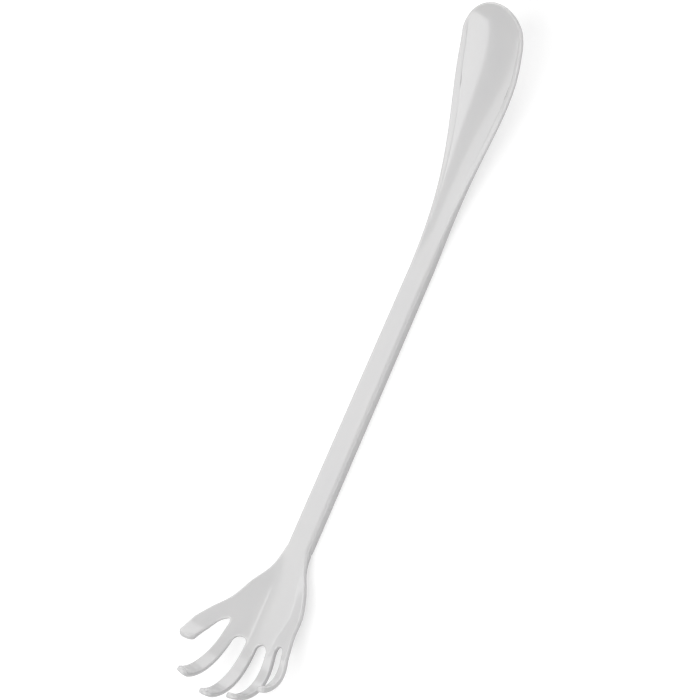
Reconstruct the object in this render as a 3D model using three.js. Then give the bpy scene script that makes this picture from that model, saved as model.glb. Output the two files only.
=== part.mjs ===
// A back scratcher and shoehorn moulded in one piece of glossy plastic.
// It lies on its back along X: hand at -X, blade tip at +X, thumb at +Y, hollow sides up.
// Its middle surface is a grid of quads in five bands, one for each digit. The bands run
// side by side through blade, shaft and palm, and part at the webs between the digits.
// The grid is thickened with round rims, and each region of it becomes one mesh.
import * as THREE from "three";

const { degToRad, lerp, smoothstep } = THREE.MathUtils;

// Shaft: a flat bar with rounded edges, from the neck at the hand to the blade.
const shaftLength = 205;
const shaftWidthAtHand = 18.6;
const shaftWidthAtBlade = 17.2;
const shaftThickness = 7.4;
const shaftEdgeRadius = 2.6;

// Shoehorn blade: a trough that bends up toward a round tip. Its floor is shallow, and its
// two sides are folded up as walls that grow out of the shaft's rounded edges.
const bladeLength = 191;
const bladeWidth = 51;
const bladeThickness = 2.4;
const bladeFloorRise = 2.1;
const bladeWallWidth = 5.4;
const bladeWallSlope = 0.5;
const bladeFoldRadius = 1.6;
const bladeTipLength = 27;
const bladeFlareLength = 150;
const bladeFlareEase = 1.4;
const bladeThinningLength = 95;
const bladeHollowingLength = 45;
const bladeStartPitch = 2.3;
const bladeEndPitch = 41;
const bladeBendEase = 2.65;

// Palm: a plate cupped along two folds, with its front flush with the shaft's front. The
// little finger's side folds along a curve that bulges out between the neck and the roots.
const palmThickness = 3;
const plateRimRadius = 1.2;
const neckLength = 16;
const palmCupLength = 34;
const thumbSideFold = 7.5;
const thumbSideSlope = 0.42;
const thumbSideFoldRadius = 2.5;
const littleSideSlope = 0.39;
const littleSideFoldRadius = 1.8;
const littleSideFold = [
  { share: 0, out: shaftWidthAtHand / 2 },
  { share: 0.3, out: 12.2 },
  { share: 0.6, out: 16.8 },
  { share: 0.85, out: 13.6 },
  { share: 1, out: 12.4 },
];

// The palm's outline: the distance out from the shaft's centre line at shares of the way
// from the neck to the thumb's or the little finger's root.
const thumbSideEdge = [
  { share: 0, out: shaftWidthAtHand / 2 },
  { share: 0.25, out: 12.8 },
  { share: 0.48, out: 20.7 },
  { share: 0.715, out: 28.2 },
  { share: 0.885, out: 37 },
];
const littleSideEdge = [
  { share: 0, out: shaftWidthAtHand / 2 },
  { share: 0.19, out: 13.8 },
  { share: 0.4, out: 23.2 },
  { share: 0.575, out: 27.7 },
  { share: 0.76, out: 28.9 },
];

// Round-topped webs between the digits, at their distances from the neck, the little
// finger's first. The digits start at planes just past them.
const webRadius = 4.2;
const webTops = [66.2, 69, 68.4, 60.3];
const rootPastWebs = 0.4;
const thumbRoot = webTops.at(-1) + webRadius + rootPastWebs;
const fingerRoot = Math.max(...webTops) + webRadius + rootPastWebs;

// Digits, from the little finger's side to the thumb's side. Angles are in degrees: lean
// is away from the shaft's line, pitch is up from the palm, each at the root and the tip.
const digits = [
  {
    name: "little_finger",
    rootY: -30.3,
    rootWidth: 6.2,
    width: 7.1,
    tipRoundness: 1,
    length: 34.6,
    lean: [15, 5.4],
    pitch: [-4, 80],
    curlEase: 1.23,
  },
  {
    name: "ring_finger",
    rootY: -14.4,
    rootWidth: 8.8,
    width: 9.6,
    tipRoundness: 1,
    length: 53,
    lean: [10.8, 6],
    pitch: [-3, 92],
    curlEase: 1.3,
  },
  {
    name: "middle_finger",
    rootY: 3.5,
    rootWidth: 9.2,
    width: 10.4,
    tipRoundness: 1,
    length: 55.6,
    lean: [-4, -3.2],
    pitch: [-3, 88],
    curlEase: 1.38,
  },
  {
    name: "index_finger",
    rootY: 20.9,
    rootWidth: 8,
    width: 9.6,
    tipRoundness: 1,
    length: 51.4,
    lean: [-10.3, -17],
    pitch: [7, 89],
    curlEase: 1.22,
  },
  {
    name: "thumb",
    rootY: 36.2,
    rootWidth: 12.7,
    width: 12.4,
    tipRoundness: 0.5,
    length: 23.4,
    lean: [-36, -1],
    pitch: [12, 50],
    curlEase: 1.15,
  },
];
const digitThickness = 3.1;
const fingertipThickness = 3.8;
const fingertipRimRadius = 1.6;
const fingertipLength = 16;
const digitWideningShare = 0.55;
const digitTwistingShare = 0.25;
const curlPlaneTilt = 0.5;

// Rims are superellipses: 1 is round and larger values are squarer.
const rimFullness = 1.5;

// Fineness of the grid, and the share of a blade row's points that cover each wall.
const quadsPerBand = 4;
const wallShare = 0.2;
const rimSteps = 3;
const shaftRows = 6;
const bladeBodyRows = 18;
const bladeTipRows = 7;
const palmRowSpacing = 4.5;
const leastRowSpacing = 0.35;
const webRows = [0.1, 0.35, 0.68, 1];
const digitBodyRows = 11;
const digitTipRows = 4;

const thumbBand = digits.length - 1;
const plateHalf = palmThickness / 2;
const shaftHalf = shaftThickness / 2;

// A smooth curve through an outline's points, as the distance out at a share of its run.
function outAt(outline, share) {
  const last = outline.length - 1;
  let i = 0;
  while (i < last - 1 && outline[i + 1].share < share) i += 1;
  const slopeAt = (k) => {
    const before = outline[Math.max(k - 1, 0)];
    const after = outline[Math.min(k + 1, last)];
    return (after.out - before.out) / (after.share - before.share);
  };
  const a = outline[i];
  const b = outline[i + 1];
  const span = b.share - a.share;
  const t = (share - a.share) / span;
  const leaving = t * (1 - t) * (1 - t) * span * slopeAt(i);
  const arriving = t * t * (1 - t) * span * slopeAt(i + 1);
  return lerp(a.out, b.out, t * t * (3 - 2 * t)) + leaving - arriving;
}

// How steeply a height rises across the moulding, from two points close together.
function slopeOf(heightAt, y) {
  const apart = 0.02;
  return (heightAt(y + apart / 2) - heightAt(y - apart / 2)) / apart;
}

// Angles of the rows that close a round tip, the last one a step before its very end.
function closingAngles(rows) {
  return Array.from({ length: rows }, (_, i) => ((Math.PI / 2) * (i + 1)) / (rows + 1));
}

// A ramp of slope 1 that starts at 0 with a rounded corner.
function roundedRamp(distance, radius) {
  return (Math.hypot(distance, radius) + distance) / 2;
}

// How far the palm's middle surface lies above the shaft's middle plane.
function palmHeight(along, y) {
  const cup = smoothstep(along, 0, palmCupLength);
  const fold = outAt(littleSideFold, Math.min(along / fingerRoot, 1));
  const toThumb = thumbSideSlope * roundedRamp(y - thumbSideFold, thumbSideFoldRadius);
  const toLittle = littleSideSlope * roundedRamp(-y - fold, littleSideFoldRadius);
  return shaftHalf - palmHalfAt(along) + cup * (toThumb + toLittle);
}

function palmHalfAt(along) {
  return lerp(shaftHalf, plateHalf, smoothstep(along, -neckLength / 2, neckLength));
}

function palmRimAt(along) {
  return lerp(shaftEdgeRadius, plateRimRadius, smoothstep(along, -neckLength / 2, neckLength));
}

// A digit's side, continued from its root plane into the palm.
function digitSide(band, along, side) {
  const digit = digits[band];
  const root = band === thumbBand ? thumbRoot : fingerRoot;
  const drift = -Math.tan(degToRad(digit.lean[0])) * (along - root);
  return digit.rootY + drift + (side * digit.rootWidth) / 2;
}

// The palm's outline runs on into the outer sides of the thumb and the little finger.
function palmEdge(along, side) {
  const band = side > 0 ? thumbBand : 0;
  const root = side > 0 ? thumbRoot : fingerRoot;
  const edge = side > 0 ? thumbSideEdge : littleSideEdge;
  const joinShare = (edge.at(-1).share + 1) / 2;
  const outline = [
    ...edge,
    { share: joinShare, out: side * digitSide(band, joinShare * root, side) },
    { share: 1, out: side * digitSide(band, root, side) },
  ];
  return side * outAt(outline, along / root);
}

// A web's middle line and its half width in the middle surface, none before its top.
function webAt(index, along) {
  const near = digitSide(index, along, 1);
  const far = digitSide(index + 1, along, -1);
  const depth = along - (webTops[index] - plateRimRadius);
  const radius = webRadius + plateRimRadius;
  const opening = Math.sqrt(Math.max(0, 1 - (1 - Math.min(depth / radius, 1)) ** 2));
  return {
    middle: (near + far) / 2,
    half: depth > 0 ? opening * ((far - near) / 2 + plateRimRadius) : 0,
  };
}

// The line between two bands before their web opens: from an even share of the shaft's
// width to the web's top.
function bandLine(index, along) {
  const top = webTops[index] - plateRimRadius;
  const shareAtNeck = (index + 1) / digits.length;
  const rim = palmRimAt(top);
  const right = palmEdge(top, -1) + rim;
  const left = palmEdge(top, 1) - rim;
  const shareAtWeb = (webAt(index, top).middle - right) / (left - right);
  const share = lerp(shareAtNeck, shareAtWeb, smoothstep(along, 0, top));
  const rimHere = palmRimAt(along);
  return lerp(palmEdge(along, -1) + rimHere, palmEdge(along, 1) - rimHere, share);
}

function rowPoint(position, normal, half, rim) {
  return { position, normal: normal.normalize(), half, rim, outward: new THREE.Vector3() };
}

// One row of a band across the palm, in a plane square to X.
function palmRow(band, along) {
  const rim = palmRimAt(along);
  const sideOf = (index, side) => {
    if (index < 0) return palmEdge(along, -1) + rim;
    if (index >= webTops.length) return palmEdge(along, 1) - rim;
    const web = webAt(index, along);
    return web.half > 0 ? web.middle + side * web.half : bandLine(index, along);
  };
  const right = sideOf(band - 1, 1);
  const left = sideOf(band, -1);
  const row = [];
  for (let k = 0; k <= quadsPerBand; k += 1) {
    const y = lerp(right, left, k / quadsPerBand);
    const z = palmHeight(along, y);
    const normal = new THREE.Vector3(0, -slopeOf((at) => palmHeight(along, at), y), 1);
    row.push(rowPoint(new THREE.Vector3(-along, y, z), normal, palmHalfAt(along), rim));
  }
  return row;
}

// Where the blade's middle line lies after a length of it, and how steeply it rises,
// followed in steps of up to a millimetre.
function bladeLine(length) {
  const pitchAt = (s) => {
    const share = Math.min(s / bladeLength, 1);
    return degToRad(lerp(bladeStartPitch, bladeEndPitch, share ** bladeBendEase));
  };
  const steps = Math.ceil(length);
  const step = length / steps;
  let x = shaftLength;
  let z = 0;
  for (let i = 0; i < steps; i += 1) {
    const pitch = pitchAt((i + 0.5) * step);
    x += Math.cos(pitch) * step;
    z += Math.sin(pitch) * step;
  }
  return { x, z, pitch: pitchAt(length) };
}

// The trough's rise at a distance from its middle: a floor as curved as its width allows,
// which hollows soon after the shaft, and walls that grow past the folds with the flare.
function troughRise(y, trough) {
  const floor = (bladeFloorRise * y * y) / ((trough.halfWidth * bladeWidth) / 2);
  const wall = bladeWallSlope * roundedRamp(Math.abs(y) - trough.fold, bladeFoldRadius);
  return trough.hollow * floor + trough.flare * wall;
}

// How far out a row's point lies, at a share of the way from the middle to the row's end:
// the outermost ones cover the wall and the others the floor.
function placeAcross(share, fold, reach) {
  const wallStart = 1 - wallShare;
  if (share < wallStart) return (fold * share) / wallStart;
  return lerp(fold, reach, (share - wallStart) / wallShare);
}

// One row of a band across the blade, square to its middle line.
function bladeRow(band, length, tipShare) {
  const line = bladeLine(length);
  const thin = smoothstep(length, 0, bladeThinningLength);
  const half = lerp(shaftHalf, bladeThickness / 2, thin);
  const rim = lerp(shaftEdgeRadius, bladeThickness / 2, thin);
  const hollow = smoothstep(length, 0, bladeHollowingLength);
  const flare = smoothstep(Math.min(length / bladeFlareLength, 1) ** bladeFlareEase, 0, 1);
  const halfWidth = lerp(shaftWidthAtBlade, bladeWidth, flare) / 2;
  const fold = halfWidth - lerp(shaftEdgeRadius, bladeWallWidth, flare);
  const reach = halfWidth - rim;
  const row = [];
  for (let k = 0; k <= quadsPerBand; k += 1) {
    const across = ((band + k / quadsPerBand) / digits.length) * 2 - 1;
    const share = Math.abs(across);
    const out = lerp(share * reach, placeAcross(share, fold, reach), flare);
    const y = Math.sign(across) * out * tipShare;
    const rise = (at) => troughRise(at, { halfWidth, fold, hollow, flare });
    const lift = rise(y) + shaftHalf - half;
    const up = new THREE.Vector3(-Math.sin(line.pitch), 0, Math.cos(line.pitch));
    const position = new THREE.Vector3(line.x, y, line.z).addScaledVector(up, lift);
    const normal = up.clone().addScaledVector(new THREE.Vector3(0, 1, 0), -slopeOf(rise, y));
    row.push(rowPoint(position, normal, half, rim));
  }
  return row;
}

// One row of a band across the shaft.
function shaftRow(band, x) {
  const width = lerp(shaftWidthAtHand, shaftWidthAtBlade, x / shaftLength);
  const row = [];
  for (let k = 0; k <= quadsPerBand; k += 1) {
    const across = ((band + k / quadsPerBand) / digits.length) * 2 - 1;
    const y = across * (width / 2 - shaftEdgeRadius);
    const position = new THREE.Vector3(x, y, 0);
    row.push(rowPoint(position, new THREE.Vector3(0, 0, 1), shaftHalf, shaftEdgeRadius));
  }
  return row;
}

// Which way a digit's middle line and its upper face point, after a share of its length.
function digitFrame(digit, share, curlUp) {
  const lean = degToRad(lerp(digit.lean[0], digit.lean[1], share));
  const pitch = degToRad(lerp(digit.pitch[0], digit.pitch[1], share ** digit.curlEase));
  const level = new THREE.Vector3(-Math.cos(lean), -Math.sin(lean), 0);
  const forward = level.clone().multiplyScalar(Math.cos(pitch));
  forward.addScaledVector(curlUp, Math.sin(pitch));
  const normal = curlUp.clone().multiplyScalar(Math.cos(pitch));
  normal.addScaledVector(level, -Math.sin(pitch));
  return { forward, normal };
}

// Distances along a digit where its rows lie, with the share of the width at each.
function digitPlaces(digit) {
  const roundLength = digit.tipRoundness * (digit.width / 2 - fingertipRimRadius);
  const bodyLength = digit.length - roundLength - fingertipRimRadius;
  const places = [];
  for (let i = 1; i <= digitBodyRows; i += 1) {
    places.push({ distance: (bodyLength * i) / digitBodyRows, widthShare: 1 });
  }
  for (const angle of closingAngles(digitTipRows)) {
    const distance = bodyLength + roundLength * Math.sin(angle);
    places.push({ distance, widthShare: Math.cos(angle) });
  }
  return places;
}

// Rows of a free digit. It starts on its last palm row, and curls in a plane tilted
// between upright and square to the palm's surface there, in steps of up to a millimetre.
function digitRows(band, rootRow) {
  const digit = digits[band];
  const rightEnd = rootRow[0].position;
  const leftEnd = rootRow[quadsPerBand].position;
  const rootAcross = leftEnd.clone().sub(rightEnd).normalize();
  const rootNormal = rootAcross.clone().cross(new THREE.Vector3(-1, 0, 0));
  const curlUp = new THREE.Vector3(0, 0, 1).lerp(rootNormal, curlPlaneTilt).normalize();
  const point = rightEnd.clone().add(leftEnd).divideScalar(2);
  let travelled = 0;
  return digitPlaces(digit).map(({ distance, widthShare }) => {
    const steps = Math.ceil(distance - travelled);
    const step = (distance - travelled) / steps;
    for (let i = 0; i < steps; i += 1) {
      const share = (travelled + (i + 0.5) * step) / digit.length;
      point.addScaledVector(digitFrame(digit, share, curlUp).forward, step);
    }
    travelled = distance;
    const { forward, normal } = digitFrame(digit, distance / digit.length, curlUp);
    const widened = smoothstep(distance, 0, digitWideningShare * digit.length);
    const twisted = smoothstep(distance, 0, digitTwistingShare * digit.length);
    const across = rootAcross.clone().lerp(forward.cross(normal), widened).normalize();
    const up = rootNormal.clone().lerp(normal, twisted);
    const swelling = smoothstep(distance, digit.length - fingertipLength, digit.length);
    const half = lerp(digitThickness, fingertipThickness, swelling) / 2;
    const rim = lerp(plateRimRadius, fingertipRimRadius, swelling);
    const width = lerp(rightEnd.distanceTo(leftEnd), digit.width - 2 * rim, widened);
    const row = [];
    for (let k = 0; k <= quadsPerBand; k += 1) {
      const offset = (k / quadsPerBand - 0.5) * width * widthShare;
      const position = point.clone().addScaledVector(across, offset);
      row.push(rowPoint(position, up.clone(), half, rim));
    }
    return row;
  });
}

// Places along the palm where rows lie: the web tops and root planes first, then even
// steps and the webs' round stretches, without those that crowd a place already there.
function palmPlaces() {
  const tops = webTops.map((top) => top - plateRimRadius);
  const firstTop = Math.min(...tops);
  const places = [...new Set([...tops, thumbRoot, fingerRoot])];
  const wanted = [];
  const evenRows = Math.ceil(firstTop / palmRowSpacing);
  for (let i = 1; i < evenRows; i += 1) wanted.push((firstTop * i) / evenRows);
  for (const top of tops) {
    for (const share of webRows) wanted.push(top + share * (webRadius + plateRimRadius));
  }
  for (const place of wanted) {
    const crowded = places.some((other) => Math.abs(other - place) < leastRowSpacing);
    if (place < fingerRoot && !crowded) places.push(place);
  }
  return places.sort((a, b) => a - b);
}

// All rows of each band from the blade's tip to the digit's tip, with the region of each.
function buildBands() {
  const bands = digits.map(() => []);
  const regions = digits.map(() => []);
  const add = (region, makeRow) => {
    digits.forEach((digit, band) => {
      bands[band].push(makeRow(band));
      regions[band].push(region);
    });
  };
  const bodyLength = bladeLength - bladeTipLength;
  const tipLength = bladeTipLength - bladeThickness / 2;
  for (const angle of closingAngles(bladeTipRows).reverse()) {
    const length = bodyLength + tipLength * Math.sin(angle);
    add("shoehorn_blade", (band) => bladeRow(band, length, Math.cos(angle)));
  }
  for (let i = bladeBodyRows; i >= 1; i -= 1) {
    add("shoehorn_blade", (band) => bladeRow(band, (bodyLength * i) / bladeBodyRows, 1));
  }
  add("shoehorn_blade", (band) => shaftRow(band, shaftLength));
  for (let i = shaftRows - 1; i >= 0; i -= 1) {
    add("shaft", (band) => shaftRow(band, (shaftLength * i) / shaftRows));
  }
  for (const along of palmPlaces()) {
    digits.forEach((digit, band) => {
      if (band === thumbBand && along > thumbRoot) return;
      bands[band].push(palmRow(band, along));
      regions[band].push("palm");
    });
  }
  digits.forEach((digit, band) => {
    const rows = digitRows(band, bands[band].at(-1));
    for (const row of rows) {
      bands[band].push(row);
      regions[band].push(digit.name);
    }
  });
  return { bands, regions };
}

// Joins the bands into one list of points and quads: neighbours share their points up to
// the row of the web between them.
function buildGrid() {
  const { bands, regions } = buildBands();
  const points = [];
  const ids = bands.map((rows) => rows.map(() => []));
  bands.forEach((rows, band) => {
    rows.forEach((row, r) => {
      row.forEach((point, k) => {
        const neighbour = band > 0 && k === 0 ? bands[band - 1][r] : undefined;
        if (neighbour?.[quadsPerBand].position.equals(point.position)) {
          ids[band][r][k] = ids[band - 1][r][quadsPerBand];
          return;
        }
        ids[band][r][k] = points.length;
        points.push(point);
      });
    });
  });
  const quads = [];
  bands.forEach((rows, band) => {
    for (let r = 0; r + 1 < rows.length; r += 1) {
      for (let k = 0; k < quadsPerBand; k += 1) {
        const a = ids[band][r][k];
        const b = ids[band][r][k + 1];
        const c = ids[band][r + 1][k + 1];
        const d = ids[band][r + 1][k];
        quads.push({ corners: [a, b, c, d], region: regions[band][r + 1] });
      }
    }
  });
  return { points, quads };
}

// The edges that only one of the quads has, each running with its quad.
function openEdges(quads) {
  const edges = new Map();
  for (const quad of quads) {
    quad.corners.forEach((a, i) => {
      const b = quad.corners[(i + 1) % 4];
      if (!edges.delete(b + "," + a)) edges.set(a + "," + b, [a, b]);
    });
  }
  return [...edges.values()];
}

// At the moulding's rim, each point gets the direction that its round edge bulges in. It
// stays in the plane of a cut between regions.
function setOutward(points, quads) {
  for (const [a, b] of openEdges(quads)) {
    const run = points[b].position.clone().sub(points[a].position);
    for (const end of [points[a], points[b]]) {
      end.outward.add(run.clone().normalize().cross(end.normal));
    }
  }
  const cuts = [shaftLength, 0, -thumbRoot, -fingerRoot];
  for (const point of points) {
    if (cuts.includes(point.position.x)) point.outward.x = 0;
    point.outward.normalize();
  }
}

// Turns one region's quads into a closed solid. Its open edges get a round rim where the
// moulding ends and a flat face where the next region begins.
function thicken(points, quads) {
  const layers = rimSteps + 2;
  const used = new Map();
  const vertices = [];
  const layersOf = (id) => {
    if (used.has(id)) return used.get(id);
    const { position, normal, half, rim, outward } = points[id];
    const made = [];
    for (let layer = 0; layer < layers; layer += 1) {
      const angle = Math.PI / 2 - (Math.PI * layer) / (layers - 1);
      const vertex = position.clone();
      const up = Math.sign(angle) * Math.abs(Math.sin(angle)) ** (1 / rimFullness);
      const out = Math.abs(Math.cos(angle)) ** (1 / rimFullness);
      vertex.addScaledVector(normal, half * up);
      if (layer > 0 && layer < layers - 1) vertex.addScaledVector(outward, rim * out);
      made.push(vertices.length / 3);
      vertices.push(...vertex);
    }
    used.set(id, made);
    return made;
  };
  const triangles = [];
  const addQuad = (a, b, c, d) => triangles.push(a, b, c, a, c, d);
  for (const quad of quads) {
    const [a, b, c, d] = quad.corners.map(layersOf);
    addQuad(a[0], b[0], c[0], d[0]);
    addQuad(d.at(-1), c.at(-1), b.at(-1), a.at(-1));
  }
  for (const [from, to] of openEdges(quads)) {
    const a = layersOf(from);
    const b = layersOf(to);
    for (let layer = 0; layer + 1 < layers; layer += 1) {
      addQuad(b[layer], a[layer], a[layer + 1], b[layer + 1]);
    }
  }
  const geometry = new THREE.BufferGeometry();
  geometry.setAttribute("position", new THREE.Float32BufferAttribute(vertices, 3));
  geometry.setIndex(triangles);
  geometry.computeVertexNormals();
  return geometry;
}

const { points, quads } = buildGrid();
setOutward(points, quads);

const backScratcher = new THREE.Group();
const regionNames = ["shoehorn_blade", "shaft", "palm", ...digits.map((digit) => digit.name)];
for (const name of regionNames) {
  const plastic = new THREE.MeshStandardMaterial({ color: 0xdededf, roughness: 0.25, metalness: 0 });
  const mesh = new THREE.Mesh(thicken(points, quads.filter((quad) => quad.region === name)), plastic);
  mesh.name = name;
  backScratcher.add(mesh);
}

// The origin is under the middle of the object, on the surface that it lies on.
const box = new THREE.Box3().setFromObject(backScratcher);
const middle = box.getCenter(new THREE.Vector3());
for (const mesh of backScratcher.children) {
  mesh.position.set(-middle.x, -middle.y, -box.min.z);
}

export default backScratcher;
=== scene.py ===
"""A back scratcher and shoehorn, moulded in one piece of glossy plastic, in a plain studio."""
import math
from collections import namedtuple

import bpy
import numpy as np
from mathutils import Matrix, Vector


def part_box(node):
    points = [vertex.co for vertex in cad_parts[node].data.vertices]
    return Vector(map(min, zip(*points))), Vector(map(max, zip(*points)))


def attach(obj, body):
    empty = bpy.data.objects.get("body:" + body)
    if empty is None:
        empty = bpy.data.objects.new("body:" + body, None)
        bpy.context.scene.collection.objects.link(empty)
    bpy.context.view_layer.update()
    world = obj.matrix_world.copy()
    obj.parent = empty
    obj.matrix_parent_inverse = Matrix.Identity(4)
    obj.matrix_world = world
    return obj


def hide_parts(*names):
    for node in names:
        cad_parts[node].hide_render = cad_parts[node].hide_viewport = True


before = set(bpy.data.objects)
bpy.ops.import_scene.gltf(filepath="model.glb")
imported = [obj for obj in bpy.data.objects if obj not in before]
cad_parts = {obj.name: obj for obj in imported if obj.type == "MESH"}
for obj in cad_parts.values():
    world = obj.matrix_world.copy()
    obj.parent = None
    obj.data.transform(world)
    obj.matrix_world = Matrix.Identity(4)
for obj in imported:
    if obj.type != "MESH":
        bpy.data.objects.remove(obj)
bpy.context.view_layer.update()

MM = 0.001

# Sizes of the moulding, in millimetres. The shaft is a flat bar with rounded edges.
SHAFT_LENGTH = 205
SHAFT_WIDTH_AT_HAND = 18.6
SHAFT_WIDTH_AT_BLADE = 17.2
SHAFT_THICKNESS = 7.4
SHAFT_EDGE_RADIUS = 2.6

# Shoehorn blade: a shallow trough with folded-up walls, which bends up to a round tip.
BLADE_LENGTH = 191
BLADE_WIDTH = 51
BLADE_THICKNESS = 2.4
BLADE_FLOOR_RISE = 2.1
BLADE_WALL_WIDTH = 5.4
BLADE_WALL_WIDTH_AT_TIP = 3
BLADE_WALL_NARROWING_START = 90
BLADE_WALL_NARROWING_LENGTH = 80
BLADE_WALL_SLOPE = 0.28
BLADE_FOLD_RADIUS = 0.6
BLADE_STEP_HEIGHT = 0.4
BLADE_STEP_WIDTH = 1.2
BLADE_TIP_LENGTH = 27
BLADE_TIP_REACH = 25.3
BLADE_FLARE_LENGTH = 150
BLADE_FLARE_EASE = 1.4
BLADE_THINNING_LENGTH = 95
BLADE_HOLLOWING_LENGTH = 45
BLADE_START_PITCH = 2.3
BLADE_END_PITCH = 41
BLADE_BEND_EASE = 2.65

# Palm: a plate cupped along two folds. Outlines give the distance out from the shaft's
# centre line at shares of the way from the neck to the digits' roots.
PALM_THICKNESS = 3
PLATE_RIM_RADIUS = 1.2
NECK_LENGTH = 16
PALM_CUP_LENGTH = 34
THUMB_SIDE_FOLD = 7.5
THUMB_SIDE_SLOPE = 0.42
THUMB_SIDE_FOLD_RADIUS = 2.5
LITTLE_SIDE_SLOPE = 0.39
LITTLE_SIDE_FOLD_RADIUS = 0.7
LITTLE_SIDE_FOLD = [(0, SHAFT_WIDTH_AT_HAND / 2), (0.3, 12.2), (0.6, 16.8), (0.85, 13.6), (1, 12.4)]
THUMB_SIDE_EDGE = [
    (0, SHAFT_WIDTH_AT_HAND / 2), (0.25, 12.8), (0.48, 20.7), (0.715, 28.2), (0.885, 37),
]
LITTLE_SIDE_EDGE = [
    (0, SHAFT_WIDTH_AT_HAND / 2), (0.19, 13.8), (0.4, 23.2), (0.575, 27.7), (0.76, 28.9),
]

# Round-topped webs between the digits, at their distances from the neck.
WEB_RADIUS = 4.2
WEB_TOPS = [66.2, 69, 68.4, 60.3]
ROOT_PAST_WEBS = 0.4
THUMB_ROOT = WEB_TOPS[-1] + WEB_RADIUS + ROOT_PAST_WEBS
FINGER_ROOT = max(WEB_TOPS) + WEB_RADIUS + ROOT_PAST_WEBS

# Digits, the little finger first. Angles are in degrees, each at the root and the tip.
Digit = namedtuple("Digit", "root_y root_width width tip_roundness length lean pitch curl_ease")
DIGITS = [
    Digit(-30.3, 6.2, 6.9, 1, 34.4, (15, 5.4), (-4, 80), 1.23),
    Digit(-14.4, 8.8, 9.6, 1, 52.9, (10.8, 6), (-3, 92), 1.3),
    Digit(3.5, 9.2, 10.4, 1, 55.4, (-4, -3.2), (-3, 88), 1.38),
    Digit(20.9, 8, 9.6, 1, 51.4, (-10.3, -17), (7, 89), 1.22),
    Digit(36.2, 12.7, 12.2, 0.5, 23.3, (-36, -1), (12, 50), 1.15),
]
THUMB = len(DIGITS) - 1
DIGIT_THICKNESS = 3.1
FINGERTIP_THICKNESS = 3.8
FINGERTIP_RIM_RADIUS = 1.6
FINGERTIP_LENGTH = 16
DIGIT_WIDENING_SHARE = 0.55
DIGIT_TWISTING_SHARE = 0.25
CURL_PLANE_TILT = 0.5

# Rims are superellipses: 1 is round and larger values are squarer.
RIM_FULLNESS = 1.5

# Fineness of the mesh. Some of the columns across gather at the blade's folds.
QUADS_PER_BAND = 16
FLOOR_SHARE = 0.7
STEP_SHARE = 0.15
RIM_STEPS = 9
SHAFT_ROWS = 24
BLADE_BODY_ROWS = 84
BLADE_TIP_ROWS = 20
PALM_ROW_SPACING = 1.2
LEAST_ROW_SPACING = 0.12
WEB_ROWS = 9
DIGIT_BODY_ROWS = 34
DIGIT_TIP_ROWS = 9

# Tones of the plastic: two that mingle along its flow, and a duller one in faint clouds.
COOL_TONE = (0.552, 0.549, 0.555, 1)
WARM_TONE = (0.582, 0.577, 0.572, 1)
CLOUD_TONE = (0.535, 0.536, 0.545, 1)

SHAFT_HALF = SHAFT_THICKNESS / 2
PLATE_HALF = PALM_THICKNESS / 2

# One row of the middle surface: its points and normals, and how thick it is around them.
Row = namedtuple("Row", "points normals half rim")


def lerp(start, end, share):
    return start + (end - start) * share


def smooth_step(value, end):
    share = np.clip(value / end, 0, 1)
    return share * share * (3 - 2 * share)


def unit(vectors):
    return vectors / np.linalg.norm(vectors, axis=-1, keepdims=True)


def slope_of(height_at, y):
    """How steeply a height rises across the moulding, from two points close together."""
    reach = 0.01
    return (height_at(y + reach) - height_at(y - reach)) / (2 * reach)


def closing_angles(rows):
    """Angles of the rows that close a round tip, the last one a step before its very end."""
    return [math.pi / 2 * (i + 1) / (rows + 1) for i in range(rows)]


def rounded_ramp(distance, radius):
    """A ramp of slope 1 that starts at 0 with a rounded corner."""
    return (np.hypot(distance, radius) + distance) / 2


def out_at(outline, share):
    """A smooth curve through an outline's points, as the distance out at a share of its run."""
    shares, outs = zip(*outline)
    last = len(outline) - 1
    i = min(max(int(np.searchsorted(shares, share)) - 1, 0), last - 1)

    def slope_at(k):
        before, after = max(k - 1, 0), min(k + 1, last)
        return (outs[after] - outs[before]) / (shares[after] - shares[before])

    span = shares[i + 1] - shares[i]
    t = (share - shares[i]) / span
    leaving = t * (1 - t) ** 2 * span * slope_at(i)
    arriving = t * t * (1 - t) * span * slope_at(i + 1)
    return lerp(outs[i], outs[i + 1], t * t * (3 - 2 * t)) + leaving - arriving


def palm_taper(along):
    """How far the thick shaft has thinned to the palm's plate."""
    return smooth_step(along + NECK_LENGTH / 2, NECK_LENGTH * 1.5)


def palm_half(along):
    return lerp(SHAFT_HALF, PLATE_HALF, palm_taper(along))


def palm_rim(along):
    return lerp(SHAFT_EDGE_RADIUS, PLATE_RIM_RADIUS, palm_taper(along))


def palm_height(along, y):
    """How far the palm's middle surface lies above the shaft's middle plane."""
    cup = smooth_step(along, PALM_CUP_LENGTH)
    fold = out_at(LITTLE_SIDE_FOLD, min(along / FINGER_ROOT, 1))
    to_thumb = THUMB_SIDE_SLOPE * rounded_ramp(y - THUMB_SIDE_FOLD, THUMB_SIDE_FOLD_RADIUS)
    to_little = LITTLE_SIDE_SLOPE * rounded_ramp(-y - fold, LITTLE_SIDE_FOLD_RADIUS)
    return SHAFT_HALF - palm_half(along) + cup * (to_thumb + to_little)


def digit_side(band, along, side):
    """A digit's side, continued from its root plane into the palm."""
    digit = DIGITS[band]
    root = THUMB_ROOT if band == THUMB else FINGER_ROOT
    drift = -math.tan(math.radians(digit.lean[0])) * (along - root)
    return digit.root_y + drift + side * digit.root_width / 2


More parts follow.
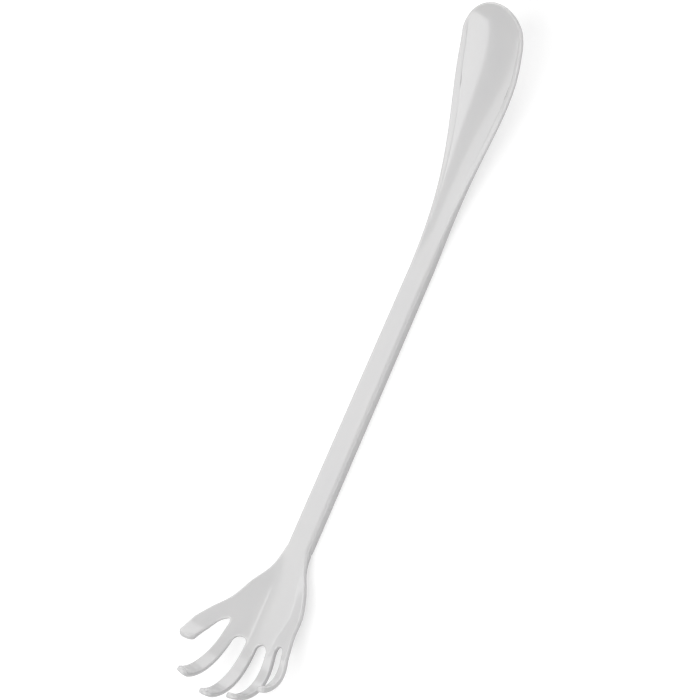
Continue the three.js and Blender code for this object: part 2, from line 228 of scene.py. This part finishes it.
def palm_edge(along, side):
    """The palm's outline, which runs on into the outer sides of thumb and little finger."""
    band = THUMB if side > 0 else 0
    root = THUMB_ROOT if side > 0 else FINGER_ROOT
    edge = THUMB_SIDE_EDGE if side > 0 else LITTLE_SIDE_EDGE
    join_share = (edge[-1][0] + 1) / 2
    joined = [(share, side * digit_side(band, share * root, side)) for share in (join_share, 1)]
    return side * out_at(edge + joined, along / root)


def web_at(index, along):
    """A web's middle line and its half width in the middle surface, none before its top."""
    near = digit_side(index, along, 1)
    far = digit_side(index + 1, along, -1)
    depth = along - (WEB_TOPS[index] - PLATE_RIM_RADIUS)
    radius = WEB_RADIUS + PLATE_RIM_RADIUS
    opening = math.sqrt(max(0, 1 - (1 - min(depth / radius, 1)) ** 2))
    half = opening * ((far - near) / 2 + PLATE_RIM_RADIUS) if depth > 0 else 0
    return (near + far) / 2, half


def band_line(index, along):
    """The line between two bands before their web opens, which ends at the web's top."""
    top = WEB_TOPS[index] - PLATE_RIM_RADIUS
    right = palm_edge(top, -1) + palm_rim(top)
    left = palm_edge(top, 1) - palm_rim(top)
    share_at_web = (web_at(index, top)[0] - right) / (left - right)
    share = lerp((index + 1) / len(DIGITS), share_at_web, smooth_step(along, top))
    rim = palm_rim(along)
    return lerp(palm_edge(along, -1) + rim, palm_edge(along, 1) - rim, share)


def palm_row(band, along):
    """One row of a band across the palm, in a plane square to X."""
    rim = palm_rim(along)

    def side_of(index, side):
        if index < 0:
            return palm_edge(along, -1) + rim
        if index >= len(WEB_TOPS):
            return palm_edge(along, 1) - rim
        middle, half = web_at(index, along)
        return middle + side * half if half > 0 else band_line(index, along)

    y = np.linspace(side_of(band - 1, 1), side_of(band, -1), QUADS_PER_BAND + 1)
    slope = slope_of(lambda at: palm_height(along, at), y)
    points = np.stack([np.full_like(y, -along), y, palm_height(along, y)], axis=1)
    normals = unit(np.stack([0 * y, -slope, np.ones_like(y)], axis=1))
    return Row(points, normals, palm_half(along), rim)


def across_band(band):
    """Where a band's points lie across the whole moulding, from -1 to 1."""
    across = np.linspace(-1, 1, len(DIGITS) * QUADS_PER_BAND + 1)
    return across[band * QUADS_PER_BAND:(band + 1) * QUADS_PER_BAND + 1]


def blade_line(length):
    """Where the blade's middle line lies after a length of it, and how steeply it rises."""
    def pitch_at(distance):
        share = np.minimum(distance / BLADE_LENGTH, 1) ** BLADE_BEND_EASE
        return np.radians(lerp(BLADE_START_PITCH, BLADE_END_PITCH, share))

    steps = math.ceil(length)
    step = length / steps
    pitches = pitch_at((np.arange(steps) + 0.5) * step)
    x = SHAFT_LENGTH + np.cos(pitches).sum() * step
    return x, np.sin(pitches).sum() * step, float(pitch_at(length))


def place_across(share, fold, reach):
    """How far out a row's points lie: on the floor, then on the step and then on the wall."""
    shares = (0, FLOOR_SHARE, FLOOR_SHARE + STEP_SHARE, 1)
    return np.interp(share, shares, (0, fold - BLADE_STEP_WIDTH, fold + BLADE_STEP_WIDTH, reach))


def blade_row(band, length, tip_share):
    """One row of a band across the blade, square to its middle line."""
    x, z, pitch = blade_line(length)
    thin = smooth_step(length, BLADE_THINNING_LENGTH)
    half = lerp(SHAFT_HALF, BLADE_THICKNESS / 2, thin)
    rim = lerp(SHAFT_EDGE_RADIUS, BLADE_THICKNESS / 2, thin)
    flare = smooth_step(min(length / BLADE_FLARE_LENGTH, 1) ** BLADE_FLARE_EASE, 1)
    hollow = smooth_step(length, BLADE_HOLLOWING_LENGTH)
    half_width = lerp(SHAFT_WIDTH_AT_BLADE, BLADE_WIDTH, flare) / 2
    narrowing = smooth_step(length - BLADE_WALL_NARROWING_START, BLADE_WALL_NARROWING_LENGTH)
    wall_width = lerp(BLADE_WALL_WIDTH, BLADE_WALL_WIDTH_AT_TIP, narrowing)
    fold = half_width - lerp(SHAFT_EDGE_RADIUS, wall_width, flare)
    reach = half_width - rim

    def rise(at):
        floor = BLADE_FLOOR_RISE * at ** 2 / (half_width * BLADE_WIDTH / 2)
        wall = BLADE_WALL_SLOPE * rounded_ramp(np.abs(at) - fold, BLADE_FOLD_RADIUS)
        past_step = np.abs(at) - fold + BLADE_STEP_WIDTH / 2
        step = BLADE_STEP_HEIGHT * smooth_step(past_step, BLADE_STEP_WIDTH)
        return hollow * floor + flare * (wall + step)

    across = across_band(band)
    share = np.abs(across)
    y = np.sign(across) * lerp(share * reach, place_across(share, fold, reach), flare) * tip_share
    up = np.array([-math.sin(pitch), 0, math.cos(pitch)])
    sideways = np.array([0.0, 1.0, 0.0])
    lift = rise(y) + SHAFT_HALF - half
    points = np.array([x, 0, z]) + np.outer(y, sideways) + np.outer(lift, up)
    return Row(points, unit(up - np.outer(slope_of(rise, y), sideways)), half, rim)


def shaft_row(band, x):
    """One row of a band across the shaft."""
    width = lerp(SHAFT_WIDTH_AT_HAND, SHAFT_WIDTH_AT_BLADE, x / SHAFT_LENGTH)
    y = across_band(band) * (width / 2 - SHAFT_EDGE_RADIUS)
    points = np.stack([np.full_like(y, x), y, 0 * y], axis=1)
    normals = np.tile([0.0, 0.0, 1.0], (len(y), 1))
    return Row(points, normals, SHAFT_HALF, SHAFT_EDGE_RADIUS)


def digit_places(digit):
    """Distances along a digit where its rows lie, with the share of the width at each."""
    round_length = digit.tip_roundness * (digit.width / 2 - FINGERTIP_RIM_RADIUS)
    body_length = digit.length - round_length - FINGERTIP_RIM_RADIUS
    body = [(body_length * (i + 1) / DIGIT_BODY_ROWS, 1) for i in range(DIGIT_BODY_ROWS)]
    tip = [
        (body_length + round_length * math.sin(angle), math.cos(angle))
        for angle in closing_angles(DIGIT_TIP_ROWS)
    ]
    return body + tip


def digit_directions(digit, share, curl_up):
    """Which way a digit's middle line and its upper face point, after a share of its length."""
    lean = math.radians(lerp(*digit.lean, share))
    pitch = math.radians(lerp(*digit.pitch, share ** digit.curl_ease))
    level = np.array([-math.cos(lean), -math.sin(lean), 0])
    forward = level * math.cos(pitch) + curl_up * math.sin(pitch)
    normal = curl_up * math.cos(pitch) - level * math.sin(pitch)
    return forward, normal


def digit_rows(band, root_row):
    """Rows of a free digit, which curls in a plane tilted between upright and the palm's
    own direction there."""
    digit = DIGITS[band]
    right_end, left_end = root_row.points[0], root_row.points[-1]
    root_across = unit(left_end - right_end)
    root_normal = np.cross(root_across, [-1, 0, 0])
    curl_up = unit(lerp(np.array([0, 0, 1]), root_normal, CURL_PLANE_TILT))
    root_width = np.linalg.norm(left_end - right_end)
    point = (right_end + left_end) / 2
    travelled = 0
    rows = []
    for distance, width_share in digit_places(digit):
        steps = math.ceil(distance - travelled)
        step = (distance - travelled) / steps
        for i in range(steps):
            share = (travelled + (i + 0.5) * step) / digit.length
            point = point + digit_directions(digit, share, curl_up)[0] * step
        travelled = distance
        forward, normal = digit_directions(digit, distance / digit.length, curl_up)
        widened = smooth_step(distance, DIGIT_WIDENING_SHARE * digit.length)
        twisted = smooth_step(distance, DIGIT_TWISTING_SHARE * digit.length)
        across = unit(lerp(root_across, np.cross(forward, normal), widened))
        swelling = smooth_step(distance - digit.length + FINGERTIP_LENGTH, FINGERTIP_LENGTH)
        half = lerp(DIGIT_THICKNESS, FINGERTIP_THICKNESS, swelling) / 2
        rim = lerp(PLATE_RIM_RADIUS, FINGERTIP_RIM_RADIUS, swelling)
        width = lerp(root_width, digit.width - 2 * rim, widened) * width_share
        offsets = np.linspace(-0.5, 0.5, QUADS_PER_BAND + 1) * width
        normals = np.tile(unit(lerp(root_normal, normal, twisted)), (QUADS_PER_BAND + 1, 1))
        rows.append(Row(point + np.outer(offsets, across), normals, half, rim))
    return rows


def palm_places():
    """Places along the palm where rows lie: the web tops and root planes first, then even
    steps and the webs' round stretches, without those that crowd a place already there."""
    tops = [top - PLATE_RIM_RADIUS for top in WEB_TOPS]
    places = sorted({*tops, THUMB_ROOT, FINGER_ROOT})
    even_rows = math.ceil(FINGER_ROOT / PALM_ROW_SPACING)
    radius = WEB_RADIUS + PLATE_RIM_RADIUS
    round_stretches = [
        top + radius * (1 - math.cos(math.pi / 2 * (i + 1) / WEB_ROWS))
        for top in tops
        for i in range(WEB_ROWS)
    ]
    even_steps = [FINGER_ROOT * (i + 1) / even_rows for i in range(even_rows - 1)]
    for place in round_stretches + even_steps:
        spacing = LEAST_ROW_SPACING if place in round_stretches else PALM_ROW_SPACING / 2
        if place < FINGER_ROOT and min(abs(place - other) for other in places) > spacing:
            places.append(place)
    return sorted(places)


def band_rows(band, places):
    """All rows of one band, from the blade's tip to the digit's tip."""
    body_length = BLADE_LENGTH - BLADE_TIP_LENGTH
    rows = [
        blade_row(band, body_length + BLADE_TIP_REACH * math.sin(angle), math.cos(angle))
        for angle in reversed(closing_angles(BLADE_TIP_ROWS))
    ]
    rows += [
        blade_row(band, body_length * i / BLADE_BODY_ROWS, 1)
        for i in range(BLADE_BODY_ROWS, 0, -1)
    ]
    rows += [shaft_row(band, SHAFT_LENGTH * i / SHAFT_ROWS) for i in range(SHAFT_ROWS, -1, -1)]
    root = THUMB_ROOT if band == THUMB else FINGER_ROOT
    rows += [palm_row(band, along) for along in places if along <= root]
    return rows + digit_rows(band, rows[-1])


def join_bands(bands):
    """One list of points with normals, thicknesses and rims, and the quads between them:
    neighbouring bands share their points up to the row of the web between them."""
    points = []
    normals = []
    halves = []
    rims = []
    quads = []
    ids_before = None
    for band, rows in enumerate(bands):
        ids = np.zeros((len(rows), QUADS_PER_BAND + 1), int)
        for r, row in enumerate(rows):
            first = 0
            if band > 0 and r < len(bands[band - 1]):
                if np.array_equal(bands[band - 1][r].points[-1], row.points[0]):
                    ids[r, 0] = ids_before[r, -1]
                    first = 1
            count = QUADS_PER_BAND + 1 - first
            ids[r, first:] = np.arange(len(points), len(points) + count)
            points.extend(row.points[first:])
            normals.extend(row.normals[first:])
            halves.extend([row.half] * count)
            rims.extend([row.rim] * count)
        corners = [ids[:-1, :-1], ids[:-1, 1:], ids[1:, 1:], ids[1:, :-1]]
        quads.append(np.stack([corner.ravel() for corner in corners], axis=1))
        ids_before = ids
    return [np.array(values) for values in (points, normals, halves, rims)] + [np.vstack(quads)]


def open_edges(quads):
    """The edges that only one of the quads has, each running with its quad."""
    edges = {}
    for quad in quads.tolist():
        for a, b in zip(quad, quad[1:] + quad[:1]):
            if edges.pop((b, a), None) is None:
                edges[a, b] = True
    return np.array(list(edges))


def thicken(points, normals, halves, rims, quads):
    """Turns the middle surface into a closed skin, with a round rim along its open edges."""
    edges = open_edges(quads)
    outward = np.zeros_like(points)
    runs = unit(points[edges[:, 1]] - points[edges[:, 0]])
    for end in (0, 1):
        np.add.at(outward, edges[:, end], np.cross(runs, normals[edges[:, end]]))
    at_rim = np.unique(edges)
    outward = unit(outward[at_rim])
    layers = []
    for layer in range(1, RIM_STEPS + 1):
        angle = math.pi / 2 - math.pi * layer / (RIM_STEPS + 1)
        up = math.copysign(abs(math.sin(angle)) ** (1 / RIM_FULLNESS), angle)
        out = abs(math.cos(angle)) ** (1 / RIM_FULLNESS)
        rise = normals[at_rim] * (halves[at_rim] * up)[:, None]
        layers.append(points[at_rim] + rise + outward * (rims[at_rim] * out)[:, None])
    thickness = normals * halves[:, None]
    vertices = np.vstack([points + thickness, points - thickness, *layers])

    count = len(points)
    place = {int(point): i for i, point in enumerate(at_rim)}

    def vertex_at(point, layer):
        if layer == 0:
            return point
        if layer == RIM_STEPS + 1:
            return count + point
        return 2 * count + (layer - 1) * len(at_rim) + place[point]

    faces = quads.tolist() + (quads[:, ::-1] + count).tolist()
    for a, b in edges.tolist():
        for layer in range(RIM_STEPS + 1):
            below = layer + 1
            faces.append([
                vertex_at(b, layer), vertex_at(a, layer), vertex_at(a, below), vertex_at(b, below),
            ])
    return vertices, faces


def make_moulding():
    """The whole tool as one smooth mesh, placed on the frame's shaft."""
    places = palm_places()
    grid = join_bands([band_rows(band, places) for band in range(len(DIGITS))])
    vertices, faces = thicken(*grid)
    low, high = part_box("shaft")
    neck = np.array([low.x, (low.y + high.y) / 2, (low.z + high.z) / 2])
    mesh = bpy.data.meshes.new("moulding")
    mesh.from_pydata((vertices * MM + neck).tolist(), [], faces)
    mesh.shade_smooth()
    moulding = bpy.data.objects.new("moulding", mesh)
    bpy.context.scene.collection.objects.link(moulding)
    return moulding


class Field:
    """A socket in a material's nodes, so that shader maths reads as Python expressions."""

    def __init__(self, nodes, socket):
        self.nodes = nodes
        self.socket = socket

    def _math(self, operation, *values):
        return self.nodes.add("ShaderNodeMath", {"operation": operation}, dict(enumerate(values)))

    def __add__(self, other):
        return self._math("ADD", self, other)

    def __sub__(self, other):
        return self._math("SUBTRACT", self, other)

    def __rsub__(self, other):
        return self._math("SUBTRACT", other, self)

    def __mul__(self, other):
        return self._math("MULTIPLY", self, other)

    def ramped(self, low, high):
        """0 below low, 1 above high and a smooth rise between them."""
        settings = {"interpolation_type": "SMOOTHSTEP"}
        return self.nodes.add("ShaderNodeMapRange", settings, {"Value": self, 1: low, 2: high})

    __radd__ = __add__
    __rmul__ = __mul__


class Nodes:
    """The node tree of one material or world."""

    def __init__(self, owner):
        owner.use_nodes = True
        self.tree = owner.node_tree
        self.tree.nodes.clear()

    def add(self, kind, settings=None, inputs=None, output=0):
        node = self.tree.nodes.new(kind)
        for name, value in (settings or {}).items():
            setattr(node, name, value)
        for name, value in (inputs or {}).items():
            if isinstance(value, Field):
                self.tree.links.new(value.socket, node.inputs[name])
            else:
                node.inputs[name].default_value = value
        return Field(self, node.outputs[output]) if node.outputs else None

    def noise(self, place, scale, detail=2.0, roughness=0.5, distortion=0.0):
        values = {
            "Vector": place, "Scale": scale, "Detail": detail,
            "Roughness": roughness, "Distortion": distortion,
        }
        return self.add("ShaderNodeTexNoise", {}, values, "Fac")

    def mix_colours(self, share, first, second):
        settings = {"data_type": "RGBA"}
        return self.add("ShaderNodeMix", settings, {"Factor": share, 6: first, 7: second}, 2)


def glossy_plastic():
    """Injection-moulded plastic: glossy and off-white, with faint flow marks, a slight
    unevenness in its gloss, and fine rubbing scattered over its whole surface."""
    material = bpy.data.materials.new("glossy_off_white_plastic")
    nodes = Nodes(material)
    place = nodes.add("ShaderNodeTexCoord", output="Object")
    along = nodes.add("ShaderNodeMapping", {}, {"Vector": place, "Scale": (1, 5, 5)})
    flow = nodes.noise(along, 14, 3, 0.5, 0.6)
    clouds = nodes.noise(place, 30, 3, 0.6)
    colour = nodes.mix_colours(flow, COOL_TONE, WARM_TONE)
    colour = nodes.mix_colours(clouds.ramped(0.35, 0.75) * 0.35, colour, CLOUD_TONE)
    rubbed = nodes.noise(place, 900, 4, 0.7).ramped(0.45, 0.8)
    roughness = 0.17 + clouds * 0.07 + rubbed * 0.06
    peel = nodes.noise(place, 420, 2, 0.5)
    waves = nodes.noise(along, 22, 1, 0.4)
    surface = waves * 3 + peel * 0.12
    bump = nodes.add("ShaderNodeBump", {}, {"Strength": 0.1, "Distance": 0.0004, "Height": surface})
    shader = nodes.add("ShaderNodeBsdfPrincipled", {}, {
        "Base Color": colour,
        "Roughness": roughness,
        "IOR": 1.5,
        "Specular IOR Level": 0.3,
        "Coat Weight": 1.0,
        "Coat Roughness": 0.09,
        "Coat IOR": 1.6,
        "Normal": bump,
    })
    nodes.add("ShaderNodeOutputMaterial", {}, {"Surface": shader})
    return material


# The studio. The camera looks along the photograph's line of sight at the bar, which lies
# across its view. Angles are in degrees, and distances in metres unless a name says mm.
VIEW_ROLL = 35
VIEW_YAW = 6
BAR_TILT_IN_PHOTO = 23.5
PHOTO_PIXELS = 700
MM_PER_PIXEL = 0.6676
NECK_PIXEL = (300, 550)
CAMERA_DISTANCE = 6.0
SENSOR_WIDTH_MM = 36
LAMP_DISTANCE = 5.0
FLOOR_HALF_SIZE = 4.0

# How bright the surroundings are. 1 is white.
WHITE = (1, 1, 1, 1)
FLOOR_PAINT = (0.7, 0.7, 0.7, 1)
FLOOR_SHADE = (0.45, 0.45, 0.45, 1)
FLOOR_GLOW = 0.62
WALL_LIGHT = 0.205
WALL_LIGHT_BEYOND_BLADE = 0.8
WALL_LIGHT_AT_THUMB_SIDE = 0.1
CEILING_DIMMING = 0.12
GLOSS_DIMMING = 0.35


def view_axes():
    """The camera's right, up and backward directions in the part's frame."""
    roll, yaw, tilt = (math.radians(a) for a in (VIEW_ROLL, VIEW_YAW, BAR_TILT_IN_PHOTO))
    bar = Vector((math.cos(yaw), -math.sin(roll) * math.sin(yaw), math.cos(roll) * math.sin(yaw)))
    side = Vector((0, math.cos(roll), math.sin(roll)))
    right = math.sin(tilt) * bar - math.cos(tilt) * side
    up = math.cos(tilt) * bar + math.sin(tilt) * side
    return right, up, bar.cross(side)


def make_camera():
    right, up, back = view_axes()
    low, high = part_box("shaft")
    neck = Vector((low.x, (low.y + high.y) / 2, (low.z + high.z) / 2))
    metres_per_pixel = MM_PER_PIXEL * MM
    middle = PHOTO_PIXELS / 2
    to_right = (middle - NECK_PIXEL[0]) * metres_per_pixel
    to_top = (NECK_PIXEL[1] - middle) * metres_per_pixel
    centre = neck + right * to_right + up * to_top
    data = bpy.data.cameras.new("camera")
    data.sensor_width = SENSOR_WIDTH_MM
    data.lens = SENSOR_WIDTH_MM * CAMERA_DISTANCE / (PHOTO_PIXELS * metres_per_pixel)
    camera = bpy.data.objects.new("camera", data)
    camera.matrix_world = Matrix.Translation(centre + back * CAMERA_DISTANCE) @ (
        Matrix((right, up, back)).transposed().to_4x4()
    )
    bpy.context.scene.collection.objects.link(camera)
    bpy.context.scene.camera = camera


def make_lamp(name, direction, height_axis, half_angles, brightness):
    """A soft box that faces the middle of the object from a direction. Its half angles are
    what it spans there in degrees, across and along the height axis. A brightness of 1 is
    that of a white wall."""
    backward = Vector(direction).normalized()
    width_axis = Vector(height_axis).cross(backward).normalized()
    data = bpy.data.lights.new(name, "AREA")
    data.shape = "RECTANGLE"
    data.size, data.size_y = (2 * LAMP_DISTANCE * math.tan(math.radians(a)) for a in half_angles)
    data.energy = brightness * math.pi * data.size * data.size_y
    lamp = bpy.data.objects.new(name, data)
    axes = Matrix((width_axis, backward.cross(width_axis), backward)).transposed().to_4x4()
    lamp.matrix_world = Matrix.Translation(backward * LAMP_DISTANCE) @ axes
    lamp.visible_camera = False
    bpy.context.scene.collection.objects.link(lamp)


def seen_by_eye_or_gloss(nodes):
    """1 for camera, mirror and glass rays, and 0 for the rays that light the object."""
    path = "ShaderNodeLightPath"
    camera = nodes.add(path, output="Is Camera Ray")
    glossy = nodes.add(path, output="Is Glossy Ray")
    glass = nodes.add(path, output="Is Transmission Ray")
    return (camera + glossy + glass).ramped(0, 1)


def dimmed_in_gloss(nodes):
    """How much darker the white surroundings are in the object's gloss than to the eye."""
    return nodes.add("ShaderNodeLightPath", output="Is Glossy Ray") * GLOSS_DIMMING


def make_floor():
    """A plain pale floor that shows white to the camera and keeps the object's shadow."""
    mesh = bpy.data.meshes.new("floor")
    half = FLOOR_HALF_SIZE
    corners = [(-half, -half, 0), (half, -half, 0), (half, half, 0), (-half, half, 0)]
    mesh.from_pydata(corners, [], [(0, 1, 2, 3)])
    floor = bpy.data.objects.new("floor", mesh)
    bpy.context.scene.collection.objects.link(floor)
    material = bpy.data.materials.new("pale_floor")
    nodes = Nodes(material)
    paint = nodes.add("ShaderNodeBsdfDiffuse", {}, {"Color": FLOOR_PAINT})
    shade = nodes.add("ShaderNodeBsdfDiffuse", {}, {"Color": FLOOR_SHADE})
    strength = FLOOR_GLOW - dimmed_in_gloss(nodes)
    glow = nodes.add("ShaderNodeEmission", {}, {"Color": WHITE, "Strength": strength})
    shown = nodes.add("ShaderNodeAddShader", {}, {0: shade, 1: glow})
    seen = seen_by_eye_or_gloss(nodes)
    surface = nodes.add("ShaderNodeMixShader", {}, {0: seen, 1: paint, 2: shown})
    nodes.add("ShaderNodeOutputMaterial", {}, {"Surface": surface})
    mesh.materials.append(material)


def make_world():
    """A studio that lights the object most from the wall beyond the blade's tip, a little
    more from the thumb's side and less from the ceiling. It looks white to the camera and
    pale grey in the object's gloss."""
    world = bpy.data.worlds.new("studio")
    bpy.context.scene.world = world
    nodes = Nodes(world)
    direction = {"Vector": nodes.add("ShaderNodeTexCoord", output="Generated")}
    x, y, z = (nodes.add("ShaderNodeSeparateXYZ", {}, direction, axis) for axis in "XYZ")
    beyond_blade = x.ramped(0.2, 1) * WALL_LIGHT_BEYOND_BLADE
    light = WALL_LIGHT + beyond_blade + y * WALL_LIGHT_AT_THUMB_SIDE - z * CEILING_DIMMING
    lighting = nodes.add("ShaderNodeBackground", {}, {"Color": WHITE, "Strength": light})
    strength = 1 - dimmed_in_gloss(nodes)
    shown = nodes.add("ShaderNodeBackground", {}, {"Color": WHITE, "Strength": strength})
    seen = seen_by_eye_or_gloss(nodes)
    surface = nodes.add("ShaderNodeMixShader", {}, {0: seen, 1: lighting, 2: shown})
    nodes.add("ShaderNodeOutputWorld", {}, {"Surface": surface})


moulding = make_moulding()
moulding.data.materials.append(glossy_plastic())
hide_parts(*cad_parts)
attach(moulding, "root")

make_floor()
make_world()
make_lamp("over_hand", (-0.504, -0.02, 0.864), (0.15, 0.985, 0.088), (30.4, 31.8), 2.12)
make_lamp("thumb_side", (0.0, 0.81, 0.585), (0.593, 0.674, -0.437), (32, 15), 1.1)
make_lamp("little_side", (0.1, -0.95, 0.3), (0, 0, 1), (35, 16), 1.4)
make_lamp("over_blade", (0.8, 0.42, 0.4), (0, 0, 1), (30, 24), 1.25)
make_camera()
bpy.context.scene.view_settings.view_transform = "Standard"
